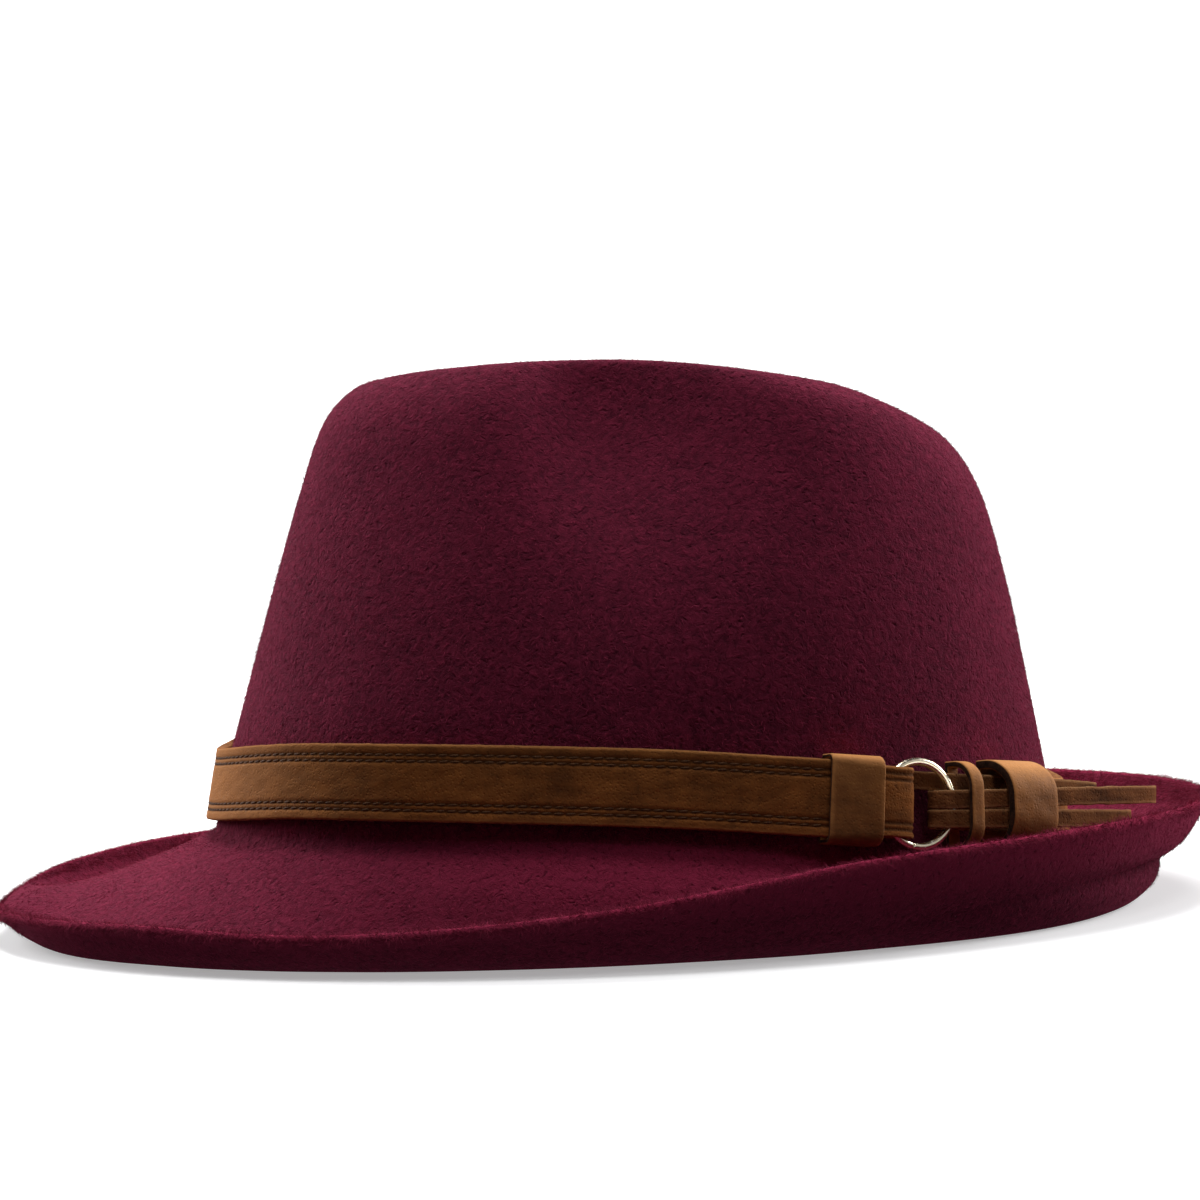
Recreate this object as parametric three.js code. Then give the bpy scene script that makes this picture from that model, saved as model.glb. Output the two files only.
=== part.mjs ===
// A felt fedora with a leather belt buckled round its crown, in millimetres, +Z up.
// It rests on its brim at z = 0. -X is the front of the hat, and -Y is its left side,
// where the belt runs to a ring, three tails fold back from it and two loops hold them.
import * as THREE from 'three';

// Felt
const feltWall = 2.4;
const feltSides = 64;            // points round each ring of the felt
const rimSteps = 3;              // rings that round the cut edge of the brim
const brimTwist = 2.1;           // the front half of the brim dips this much on its left, lifts on its right

// Belt
const beltWidth = 17.1;
const beltLeather = 2.6;         // two skins sewn together
const foldLeather = 1.6;         // pared down where it folds round the ring
const foldWidth = 15.6;
const gap = 0.3;                 // between pieces that touch
const beltStep = 7;              // length of one section of the belt
const beltLean = 0.9;            // how much more its upper edge stands off the felt
const beltSamples = 720;
const backLeather = 1.2;         // a keeper is pared to this behind the belt and below it
const innerFoot = 0.3;           // radius of a keeper's corners next to the felt

// Ring, at this place along the hat
const ringX = 66.8;
const ringRadius = 9.5;          // to the middle of the wire
const wireRadius = 0.9;

// Three tails, cut from the far end of the belt
const tailLeather = 1.7;
const tailWidth = 4;
const tailSlit = 32;             // where the slits start, from the ring's middle
const tailUnder = { slit: 1.5, bend: 0.9, level: 13, bendLead: 1.6 };  // lower face, and where it dips

const table = (columns, rows) => rows.map(
  (row) => Object.fromEntries(columns.map((name, i) => [name, row[i]])));

// The crown from its dent down to the belt's lower edge, a row for each ring of the felt.
// front and rear are x, half is the half width and egg makes the rear end fuller.
// The heights are taken at the front, its quarter, the side, the rear quarter and the rear.
const crownRings = table(
  ['name', 'front', 'rear', 'half', 'egg', 'zFront', 'zFrontQuarter', 'zSide', 'zRearQuarter', 'zRear'],
  [
    ['dentFloor', -20, 26, 12, 0.2, 112, 112, 112, 111, 109],
    ['dentWall', -35, 46, 25, 0.26, 119, 120, 120, 116, 111.5],
    ['crestInside', -44, 58, 34, 0.28, 127, 129, 129.5, 123, 116],
    ['crest', -51, 66, 40, 0.28, 129.6, 131.4, 131.6, 125.2, 118.4],
    ['crestOutside', -58, 75, 46, 0.26, 127.9, 129, 129.6, 123.4, 115.6],
    ['shoulder', -65.3, 85.2, 54, 0.18, 120.3, 120, 121, 116, 110],
    ['upperWall', -71, 93, 62, 0.12, 105.8, 104.5, 105, 101, 97.5],
    ['middleWall', -78.4, 98.6, 71.5, 0.06, 83, 81.5, 82, 78, 75.5],
    ['lowerWall', -85.4, 103.2, 78, 0.02, 60, 61, 61.5, 55, 49],
    ['beltTop', -90.6, 106.8, 81.8, 0, 42.5, 46.6, 44.3, 34.8, 27],
    ['beltBottom', -95, 109.5, 85, 0, 25, 29, 27, 17.5, 10],
  ]);

// The brim, a row for each section from the front round to the rear.
// Each ring lies at a fraction of the way from the brim's root to its edge, and has a height.
const brimRoot = { front: -96.6, rear: 111.4, half: 86.8, egg: 0 };
const brimEdge = { front: -147.6, rear: 142.8, half: 118.5, egg: 0 };
const brimRings = ['root', 'slope', 'dip', 'restInside', 'restOutside', 'curl', 'crease', 'flange', 'edge'];
const brimSections = table(
  [
    'rootZ', 'slopeAt', 'slopeZ', 'dipAt', 'dipZ', 'restInsideAt', 'restInsideZ',
    'restOutsideAt', 'restOutsideZ', 'curlAt', 'curlZ', 'creaseAt', 'creaseZ', 'flangeAt', 'flangeZ', 'edgeZ',
  ],
  [
    [22.2, 0.24, 17.2, 0.5, 12.6, 0.7, 10.4, 0.8, 9.8, 0.88, 9.6, 0.92, 9.4, 0.96, 9, 7.8],
    [22.8, 0.24, 15.8, 0.48, 9.6, 0.68, 4.4, 0.8, 3, 0.87, 3.6, 0.91, 4.8, 0.95, 6.6, 9.8],
    [23.6, 0.22, 15, 0.44, 8, 0.62, 2.8, 0.74, 2.2, 0.82, 3.2, 0.87, 4.6, 0.93, 7, 11.6],
    [23.4, 0.2, 15, 0.38, 7, 0.53, 2.2, 0.64, 2.1, 0.77, 3.4, 0.84, 4.6, 0.92, 6.8, 10.2],
    [21.6, 0.17, 14, 0.31, 6.2, 0.42, 2.1, 0.55, 2.1, 0.7, 3.6, 0.8, 5.6, 0.9, 8.8, 13],
    [16.2, 0.16, 11.4, 0.29, 5.2, 0.42, 2.1, 0.56, 2.1, 0.7, 4.4, 0.78, 6.8, 0.89, 11.4, 19.6],
    [11.8, 0.16, 8.6, 0.3, 4.2, 0.45, 2.1, 0.63, 2.1, 0.77, 6.2, 0.81, 10.4, 0.89, 14, 21.9],
    [8.4, 0.14, 6.2, 0.25, 3.6, 0.36, 2.1, 0.52, 2.1, 0.66, 6, 0.685, 11.7, 0.84, 14.4, 22.5],
    [6.8, 0.1, 5.2, 0.18, 3.6, 0.24, 2.1, 0.4, 2.1, 0.57, 6.2, 0.6, 11.8, 0.82, 14.7, 22.8],
  ]);

// Rings drawn between one named ring and the next, where one step would look angular
const finerAfter = [
  'crestInside', 'crest', 'crestOutside', 'shoulder', 'root', 'slope', 'dip', 'restOutside', 'flange'];

// The pinch in each side of the crown, near its front
const pinch = {
  depth: 19, x: 1, z: 121, lean: 0.15, ahead: 16, behind: 38, above: 20, below: 29, fullAt: 30,
};

// The belt from the inner end of its fold, round the ring, then on round the whole crown.
// along runs from the ring's middle towards the rear, under is the height of its lower face.
const foldRoute = table(
  ['along', 'under', 'leather', 'width'],
  [
    [-19, 1.5, foldLeather, foldWidth],
    [-8, 1.5, foldLeather, foldWidth],
  ]);
const foldBend = { along: -4.7, height: 3.9, radius: 2.1 };
const overRoute = table(
  ['along', 'under', 'leather', 'width'],
  [
    [-9, 5.7, foldLeather, foldWidth],
    [-11.4, 5.7, foldLeather, foldWidth],
    [-16, 3.4, foldLeather, 16.6],
    [-19.6, 3.4, foldLeather, beltWidth],
    [-23.6, 1.9, beltLeather, beltWidth],
    [-33, 0, beltLeather, beltWidth],
  ]);
const farRoute = table(
  ['along', 'under', 'leather', 'width'],
  [
    [46, 0, beltLeather, beltWidth],
    [36, tailUnder.slit, beltLeather, beltWidth],
    [tailSlit, tailUnder.slit, tailLeather, beltWidth],
  ]);

// Loops of leather round the belt and the tails. roomFrom and roomTo are their inner heights,
// cornerFrom and cornerTo the radii of their inner corners, away from the felt.
const keepers = table(
  ['name', 'from', 'to', 'roomFrom', 'roomTo', 'cornerFrom', 'cornerTo', 'leather'],
  [
    ['wide_keeper', -22.4, -11.2, 5.3, 7.9, 1, 2.1, 1],
    ['narrow_loop', 11, 14.2, 7.7, 7.9, 4.8, 4.8, 1.4],
    ['tail_keeper', 21.5, 33.5, 9.1, 11.4, 6.4, 6.2, 2.1],
  ]);

// The two lower tails turn back over the ring and the upper one starts inside it.
// turn is the radius that a tail bends to, rise is how far it climbs for each length of itself.
const tails = table(
  ['name', 'across', 'length', 'turn', 'rise'],
  [
    ['upper_tail', 5.5, 52, 120, 0.03],
    ['middle_tail', 1.2, 74, 190, 0.08],
    ['lower_tail', -3.1, 62, 190, 0.06],
  ]);
const tailBend = { along: 6.4, height: 3.9, radius: 2.15 };
const straightStart = { from: -2, to: 11, height: 1.5 };

const ringHeightOff = 4.1;       // the ring's middle above the belt's inner face
const bendSteps = 6;
const tailSteps = 8;
const cornerSteps = 4;
const ringSides = { wire: 10, round: 40 };
const nearby = 0.01;             // turn between two points that give a direction

const mix = (a, b, t) => a + (b - a) * t;

function curveThrough(before, from, to, after, t) {
  const bend = 2 * before - 5 * from + 4 * to - after;
  const twist = 3 * from - before - 3 * to + after;
  return 0.5 * (2 * from + (to - before) * t + bend * t * t + twist * t * t * t);
}

// A value at an angle, from values evenly spread from the front (half a turn) to the rear (zero)
function aroundHat(values, angle) {
  const last = values.length - 1;
  const fromFront = Math.abs(Math.atan2(Math.sin(angle), -Math.cos(angle)));
  const place = (fromFront / Math.PI) * last;
  const i = Math.min(Math.floor(place), last - 1);
  const at = (k) => values[last - Math.abs(last - Math.abs(k))];
  return curveThrough(at(i - 1), at(i), at(i + 1), at(i + 2), place - i);
}

function ovalPoint(oval, angle) {
  const middle = (oval.front + oval.rear) / 2;
  const reach = (oval.rear - oval.front) / 2;
  const width = oval.half * (1 + oval.egg * Math.cos(angle));
  return [middle + reach * Math.cos(angle), width * Math.sin(angle)];
}

function ringHeight(ring, angle) {
  return aroundHat([ring.zFront, ring.zFrontQuarter, ring.zSide, ring.zRearQuarter, ring.zRear], angle);
}

function crownPoint(ring, angle) {
  const [x, y] = ovalPoint(ring, angle);
  return new THREE.Vector3(x, y, ringHeight(ring, angle));
}

function brimPoint(name, angle) {
  const root = ovalPoint(brimRoot, angle);
  const edge = ovalPoint(brimEdge, angle);
  const ends = { root: 0, edge: 1 };
  const at = ends[name] ?? aroundHat(brimSections.map((section) => section[`${name}At`]), angle);
  const height = aroundHat(brimSections.map((section) => section[`${name}Z`]), angle);
  const rest = aroundHat(brimSections.map((section) => section.restOutsideAt), angle);
  const beyond = Math.max(at - rest, 0) / (1 - rest);
  const ahead = (1 - Math.cos(angle)) / 2;
  const twist = brimTwist * Math.sin(2 * angle) * ahead * beyond;
  return new THREE.Vector3(mix(root[0], edge[0], at), mix(root[1], edge[1], at), height - twist);
}

function pinched(point) {
  const middle = pinch.x + (pinch.z - point.z) * pinch.lean;
  const length = point.x < middle ? pinch.ahead : pinch.behind;
  const height = point.z > pinch.z ? pinch.above : pinch.below;
  const fade = ((point.x - middle) / length) ** 2 + ((point.z - pinch.z) / height) ** 2;
  point.y -= pinch.depth * Math.exp(-fade) * Math.tanh(point.y / pinch.fullAt);
  return point;
}

// All named rings from the dent to the brim's edge at one angle
function feltSection(angle) {
  const crown = crownRings.map((ring) => crownPoint(ring, angle));
  const brim = brimRings.map((name) => brimPoint(name, angle));
  return [...crown, ...brim];
}

function pointOnSection(section, level) {
  const last = section.length - 1;
  const i = Math.min(Math.floor(level), last - 1);
  const from = section[i];
  const to = section[i + 1];
  const before = section[i - 1] ?? from.clone().multiplyScalar(2).sub(to);
  const after = section[i + 2] ?? to.clone().multiplyScalar(2).sub(from);
  const along = (axis) => curveThrough(before[axis], from[axis], to[axis], after[axis], level - i);
  return pinched(new THREE.Vector3(along('x'), along('y'), along('z')));
}

function material(color, roughness, metalness) {
  return new THREE.MeshStandardMaterial({ color, roughness, metalness });
}

function solid(name, points, faces, look) {
  const geometry = new THREE.BufferGeometry();
  const numbers = points.flatMap((p) => [p.x, p.y, p.z]);
  geometry.setAttribute('position', new THREE.Float32BufferAttribute(numbers, 3));
  geometry.setIndex(faces.flat());
  geometry.computeVertexNormals();
  const mesh = new THREE.Mesh(geometry, look);
  mesh.name = name;
  return mesh;
}

function centreOf(points) {
  return points.reduce((sum, point) => sum.add(point), new THREE.Vector3()).divideScalar(points.length);
}

// Two triangles for each square of a grid whose rows are closed loops of `count` points
function skinRows(rowCount, count, rowsClose, faces) {
  const bands = rowsClose ? rowCount : rowCount - 1;
  for (let row = 0; row < bands; row += 1) {
    const below = ((row + 1) % rowCount) * count;
    for (let i = 0; i < count; i += 1) {
      const next = (i + 1) % count;
      faces.push([row * count + i, below + i, below + next]);
      faces.push([row * count + i, below + next, row * count + next]);
    }
  }
}

function capFan(row, count, centre, outward, faces) {
  for (let i = 0; i < count; i += 1) {
    const a = row * count + i;
    const b = row * count + ((i + 1) % count);
    faces.push(outward ? [centre, a, b] : [centre, b, a]);
  }
}

// Crown and brim are one piece of felt: an outer skin, a rounded rim and an inner skin
function feltBody(look) {
  const names = [...crownRings.map((ring) => ring.name), ...brimRings];
  const levels = names.flatMap((name, i) => (finerAfter.includes(name) ? [i, i + 0.5] : [i]));
  const sections = [];
  for (let i = 0; i < feltSides; i += 1) {
    sections.push(feltSection((2 * Math.PI * i) / feltSides));
  }
  const outer = levels.map((level) => sections.map((section) => pointOnSection(section, level)));
  const inner = outer.map((row, r) => row.map((point, i) => {
    const up = outer[Math.max(r - 1, 0)][i];
    const down = outer[Math.min(r + 1, outer.length - 1)][i];
    const left = row[(i + feltSides - 1) % feltSides];
    const right = row[(i + 1) % feltSides];
    const normal = down.clone().sub(up).cross(right.clone().sub(left)).normalize();
    const below = point.clone().addScaledVector(normal, -feltWall);
    below.z = Math.max(below.z, 0);
    return below;
  }));
  const rim = [];
  for (let k = 1; k <= rimSteps; k += 1) {
    const turn = (Math.PI * k) / (rimSteps + 1);
    rim.push(outer.at(-1).map((top, i) => {
      const bottom = inner.at(-1)[i];
      const middle = top.clone().add(bottom).multiplyScalar(0.5);
      const half = top.clone().sub(bottom).multiplyScalar(0.5);
      const outward = top.clone().sub(outer.at(-2)[i]).normalize().multiplyScalar(half.length());
      return middle.addScaledVector(half, Math.cos(turn)).addScaledVector(outward, Math.sin(turn));
    }));
  }
  const rows = [...outer, ...rim, ...[...inner].reverse()];
  const points = [...rows.flat(), centreOf(rows[0]), centreOf(rows.at(-1))];
  const faces = [];
  skinRows(rows.length, feltSides, false, faces);
  capFan(0, feltSides, points.length - 2, true, faces);
  capFan(rows.length - 1, feltSides, points.length - 1, false, faces);
  return solid('felt_body', points, faces, look);
}

// The belt's inner face is ruled between two ovals that stand just off the felt
function beltPointAt(angle, up) {
  const [top, bottom] = crownRings.slice(-2);
  const off = { beltTop: gap + beltLean, beltBottom: gap };
  const [high, low] = [top, bottom].map((ring) => {
    const by = off[ring.name];
    const wider = { front: ring.front - by, rear: ring.rear + by, half: ring.half + by, egg: ring.egg };
    const [x, y] = ovalPoint(wider, angle);
    return new THREE.Vector3(x, y, ringHeight(ring, angle));
  });
  return low.lerp(high, up);
}

function beltFrame(angle) {
  const origin = beltPointAt(angle, 0.5);
  const upward = beltPointAt(angle, 1).sub(beltPointAt(angle, 0));
  const ahead = beltPointAt(angle + nearby, 0.5).sub(beltPointAt(angle - nearby, 0.5)).normalize();
  const outward = ahead.clone().cross(upward).normalize();
  return { origin, ahead, outward, across: outward.clone().cross(ahead) };
}

// Angles at equal steps of length once round the belt, starting from the ring
function measureBelt() {
  const middle = beltPointAt(0, 0.5).add(beltPointAt(Math.PI, 0.5)).multiplyScalar(0.5).x;
  const reach = beltPointAt(0, 0.5).x - middle;
  const start = -Math.acos((ringX - middle) / reach);
  const lengths = [0];
  for (let i = 1; i <= beltSamples; i += 1) {
    const from = beltPointAt(start + (2 * Math.PI * (i - 1)) / beltSamples, 0.5);
    const to = beltPointAt(start + (2 * Math.PI * i) / beltSamples, 0.5);
    lengths.push(lengths.at(-1) + from.distanceTo(to));
  }
  return { start, lengths, total: lengths.at(-1) };
}

const beltMeasure = measureBelt();

function beltFrameAlong(along) {
  const { start, lengths, total } = beltMeasure;
  const length = ((along % total) + total) % total;
  const i = Math.max(lengths.findIndex((reached) => reached > length), 1) - 1;
  const part = (length - lengths[i]) / (lengths[i + 1] - lengths[i]);
  return beltFrame(start + (2 * Math.PI * (i + part)) / beltSamples);
}

function placed(frame, along, across, height) {
  const point = frame.origin.clone().addScaledVector(frame.ahead, along);
  return point.addScaledVector(frame.across, across).addScaledVector(frame.outward, height);
}

// The ring lies flat in this frame, and so do the folds next to it
const ringFrame = beltFrameAlong(0);

// A strip with square edges through stations { centre, across, width, leather }
function strip(name, stations, look) {
  const corners = [[-1, 1], [1, 1], [1, -1], [-1, -1]];
  const last = stations.length - 1;
  const points = stations.flatMap(({ centre, across, width, leather }, i) => {
    const ahead = stations[Math.min(i + 1, last)].centre.clone().sub(stations[Math.max(i - 1, 0)].centre);
    const thick = ahead.cross(across).normalize();
    return corners.map(([side, face]) => {
      const edge = centre.clone().addScaledVector(across, (side * width) / 2);
      return edge.addScaledVector(thick, (face * leather) / 2);
    });
  });
  const faces = [];
  skinRows(stations.length, corners.length, false, faces);
  const end = last * corners.length;
  faces.push([0, 1, 2], [0, 2, 3], [end, end + 2, end + 1], [end, end + 3, end + 2]);
  return solid(name, points, faces, look);
}

// Stations along the belt through the rows of a route
function beltStations(route, across = 0) {
  const stations = [];
  route.forEach((row, i) => {
    const next = route[i + 1] ?? row;
    const steps = Math.max(Math.ceil(Math.abs(next.along - row.along) / beltStep), 1);
    for (let k = 0; k < (next === row ? 1 : steps); k += 1) {
      const part = k / steps;
      const leather = mix(row.leather, next.leather, part);
      const height = mix(row.under, next.under, part) + leather / 2;
      const frame = beltFrameAlong(mix(row.along, next.along, part));
      stations.push({
        centre: placed(frame, 0, across, height),
        across: frame.across,
        width: mix(row.width, next.width, part),
        leather,
      });
    }
  });
  return stations;
}

// Half a turn in the ring's frame, from below to above, bulging ahead (1) or back (-1)
function bendStations(bend, side, across, width, leather) {
  const stations = [];
  for (let k = 0; k <= bendSteps; k += 1) {
    const turn = (Math.PI * k) / bendSteps - Math.PI / 2;
    const along = bend.along + side * bend.radius * Math.cos(turn);
    const height = bend.height + bend.radius * Math.sin(turn);
    const centre = placed(ringFrame, along, across, height);
    stations.push({ centre, across: ringFrame.across, width, leather });
  }
  return stations;
}

// The belt folds round the ring's front and runs on round the crown to its slit end
function belt(look) {
  const once = beltMeasure.total;
  const far = farRoute.map((row) => ({ ...row, along: row.along - once }));
  const stations = [
    ...beltStations(foldRoute),
    ...bendStations(foldBend, 1, 0, foldWidth, foldLeather),
    ...beltStations([...overRoute, ...far]),
  ];
  return strip('belt', stations, look);
}

// The free run of a tail: a flat bend towards the crown
function freeRun(tail, start, height) {
  const stations = [];
  for (let length = 0; length <= tail.length; length += tail.length / tailSteps) {
    const along = start + tail.turn * Math.sin(length / tail.turn);
    const inward = tail.turn * (1 - Math.cos(length / tail.turn));
    const centre = placed(ringFrame, along, tail.across + tail.rise * length, height - inward);
    stations.push({ centre, across: ringFrame.across, width: tailWidth, leather: tailLeather });
  }
  return stations;
}

function foldedTail(tail, look) {
  const row = (along, under) => ({ along, under, leather: tailLeather, width: tailWidth });
  const lowerRun = [
    row(tailSlit - gap, tailUnder.slit),
    row(tailUnder.level, tailUnder.slit),
    row(tailBend.along + tailUnder.bendLead, tailUnder.bend),
  ];
  const stations = [
    ...beltStations(lowerRun, tail.across),
    ...bendStations(tailBend, -1, tail.across, tailWidth, tailLeather),
    ...freeRun(tail, tailBend.along, tailBend.height + tailBend.radius).slice(1),
  ];
  return strip(tail.name, stations, look);
}

function straightTail(tail, look) {
  const start = placed(ringFrame, straightStart.from, tail.across, straightStart.height);
  const stations = [
    { centre: start, across: ringFrame.across, width: tailWidth, leather: tailLeather },
    ...freeRun(tail, straightStart.to, straightStart.height),
  ];
  return strip(tail.name, stations, look);
}

// A rounded outline in the plane across the belt, clockwise as seen from behind it
function loopOutline([bottom, top], [low, high], lowRadius, highRadius) {
  const corners = [
    [bottom + highRadius, high - highRadius, highRadius, Math.PI],
    [top - highRadius, high - highRadius, highRadius, Math.PI / 2],
    [top - lowRadius, low + lowRadius, lowRadius, 0],
    [bottom + lowRadius, low + lowRadius, lowRadius, -Math.PI / 2],
  ];
  return corners.flatMap(([across, height, radius, from]) => {
    const points = [];
    for (let k = 0; k <= cornerSteps; k += 1) {
      const turn = from - (Math.PI / 2) * (k / cornerSteps);
      points.push([across + radius * Math.cos(turn), height + radius * Math.sin(turn)]);
    }
    return points;
  });
}

function keeper({ name, from, to, leather, ...shape }, look) {
  const steps = Math.ceil((to - from) / beltStep) + 1;
  const half = beltWidth / 2 + gap;
  const outside = [-half - backLeather, half + leather];
  const outer = [];
  const inner = [];
  for (let k = 0; k <= steps; k += 1) {
    const frame = beltFrameAlong(mix(from, to, k / steps));
    const room = mix(shape.roomFrom, shape.roomTo, k / steps);
    const corner = mix(shape.cornerFrom, shape.cornerTo, k / steps);
    const place = ([across, height]) => placed(frame, 0, across, height);
    outer.push(loopOutline(outside, [0, room + leather], innerFoot, corner + leather).map(place));
    inner.push(loopOutline([-half, half], [backLeather, room], innerFoot, corner).map(place));
  }
  const rows = [...outer, ...inner.reverse()];
  const faces = [];
  skinRows(rows.length, rows[0].length, true, faces);
  return solid(name, rows.flat(), faces, look);
}

function ring(look) {
  const wire = new THREE.TorusGeometry(ringRadius, wireRadius, ringSides.wire, ringSides.round);
  const mesh = new THREE.Mesh(wire, look);
  const turn = new THREE.Matrix4().makeBasis(ringFrame.ahead, ringFrame.across, ringFrame.outward);
  mesh.quaternion.setFromRotationMatrix(turn);
  mesh.position.copy(placed(ringFrame, 0, 0, ringHeightOff));
  mesh.name = 'ring';
  return mesh;
}

const felt = material(0x5a1e2f, 0.95, 0);
const beltLook = material(0x6b4426, 0.8, 0);
const keeperLook = material(0x8a5a33, 0.75, 0);
const ringLook = material(0xd9c7a0, 0.25, 1);

const hat = new THREE.Group();
hat.add(feltBody(felt));
hat.add(belt(beltLook));
hat.add(ring(ringLook));
keepers.forEach((row) => hat.add(keeper(row, keeperLook)));
const [upperTail, ...lowerTails] = tails;
hat.add(straightTail(upperTail, beltLook));
lowerTails.forEach((row) => hat.add(foldedTail(row, beltLook)));

export default hat;
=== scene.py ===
import bmesh
import bpy
import math
import numpy as np
from mathutils import Matrix, Vector


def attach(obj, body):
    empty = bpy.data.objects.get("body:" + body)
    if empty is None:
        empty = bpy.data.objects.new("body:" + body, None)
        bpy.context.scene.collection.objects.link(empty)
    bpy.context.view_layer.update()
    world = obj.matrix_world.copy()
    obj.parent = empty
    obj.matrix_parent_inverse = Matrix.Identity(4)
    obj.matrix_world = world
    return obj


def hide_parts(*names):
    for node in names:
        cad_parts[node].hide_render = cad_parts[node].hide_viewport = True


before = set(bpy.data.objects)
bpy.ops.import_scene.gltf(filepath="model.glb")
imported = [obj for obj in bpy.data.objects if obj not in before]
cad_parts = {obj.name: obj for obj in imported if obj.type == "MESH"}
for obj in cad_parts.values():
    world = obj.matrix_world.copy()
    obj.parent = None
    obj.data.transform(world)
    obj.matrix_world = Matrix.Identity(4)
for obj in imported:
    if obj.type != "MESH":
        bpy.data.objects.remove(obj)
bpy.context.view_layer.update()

mm = 0.001
print("frame loaded:", ", ".join(sorted(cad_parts)))


# sockets, so that node maths reads as sums

class Wire:
    def __init__(self, tree, socket=None):
        self.tree = tree
        self.socket = socket

    # any node: its settings first, then the values or wires of its sockets
    def add(self, kind, settings=None, sockets=None, output=0):
        made = self.tree.nodes.new(kind)
        for name, value in (settings or {}).items():
            setattr(made, name, value)
        for name, value in (sockets or {}).items():
            if isinstance(value, Wire):
                self.tree.links.new(value.socket, made.inputs[name])
            else:
                made.inputs[name].default_value = value
        return Wire(self.tree, made.outputs[output] if len(made.outputs) else None)

    def out(self, name):
        return Wire(self.tree, self.socket.node.outputs[name])

    def maths(self, operation, first, second=0.0):
        return self.add("ShaderNodeMath", {"operation": operation}, {0: first, 1: second})

    def __add__(self, other):
        return self.maths("ADD", self, other)

    def __radd__(self, other):
        return self.maths("ADD", other, self)

    def __sub__(self, other):
        return self.maths("SUBTRACT", self, other)

    def __rsub__(self, other):
        return self.maths("SUBTRACT", other, self)

    def __mul__(self, other):
        return self.maths("MULTIPLY", self, other)

    def clamp(self):
        return self.add("ShaderNodeClamp", {}, {"Value": self})

    def between(self, low, high):
        spread = {"Value": self, "From Min": low, "From Max": high}
        return self.add("ShaderNodeMapRange", {"interpolation_type": "SMOOTHSTEP"}, spread)

    def blend(self, under, over):
        return self.add("ShaderNodeMix", {"data_type": "RGBA"}, {0: self, 6: under, 7: over}, 2)

    def noise(self, place, scale, detail=3.0, roughness=0.55, output=0):
        sockets = {"Vector": place, "Scale": scale, "Detail": detail, "Roughness": roughness}
        return self.add("ShaderNodeTexNoise", {"normalize": True}, sockets, output)

    def cells(self, place, scale):
        return self.add("ShaderNodeTexVoronoi", {"feature": "F1"}, {"Vector": place, "Scale": scale})

    def stretched(self, place, size):
        return self.add("ShaderNodeMapping", {}, {"Vector": place, "Scale": size})

    # the piece's own coordinates, in metres
    def ownPlace(self):
        return self.add("ShaderNodeTexCoord", output=3)

    def share(self, name):
        return self.add("ShaderNodeAttribute", {"attribute_name": name}, output=2)


def newLook(name):
    look = bpy.data.materials.new(name)
    look.use_nodes = True
    tree = look.node_tree
    tree.nodes.clear()
    return look, Wire(tree)


def finishLook(wire, constants, varying, bumps):
    normal = None
    for height, strength, distance in bumps:
        sockets = {"Height": height, "Strength": strength, "Distance": distance}
        if normal:
            sockets["Normal"] = normal
        normal = wire.add("ShaderNodeBump", {}, sockets)
    sockets = {**constants, **varying}
    if normal:
        sockets["Normal"] = normal
    shader = wire.add("ShaderNodeBsdfPrincipled", {}, sockets)
    wire.add("ShaderNodeOutputMaterial", {}, {"Surface": shader})


def rgb(red, green, blue):
    return (red, green, blue, 1)


# looks, each a dictionary of tones and sizes and the function that uses it

feltTone = {
    "body": rgb(0.185, 0.0175, 0.044),
    "deep": rgb(0.072, 0.009, 0.021),
    "light": rgb(0.30, 0.035, 0.075),
    # tone of the strongest painted light, on the edge and the rear of the brim
    "rim": rgb(0.36, 0.03, 0.08),
    "sheen": rgb(0.72, 0.10, 0.21),
    "sheenWeight": 0.34,
    "patchScale": 60.0,       # broad cloudiness
    "tuftScale": 620.0,       # matted tufts of wool
    "fibreScale": 2600.0,
    "pitScale": 520.0,
    "mottle": 2.6,            # how far the painted light and shade move the tone
    "fibreMottle": 1.3,
    "middle": 0.36,
    "paintedLightLift": 0.38,         # how much paler the brushed brim is
    "tuftRelief": 1.3 * mm,
    "fibreRelief": 0.4 * mm,
}


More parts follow.
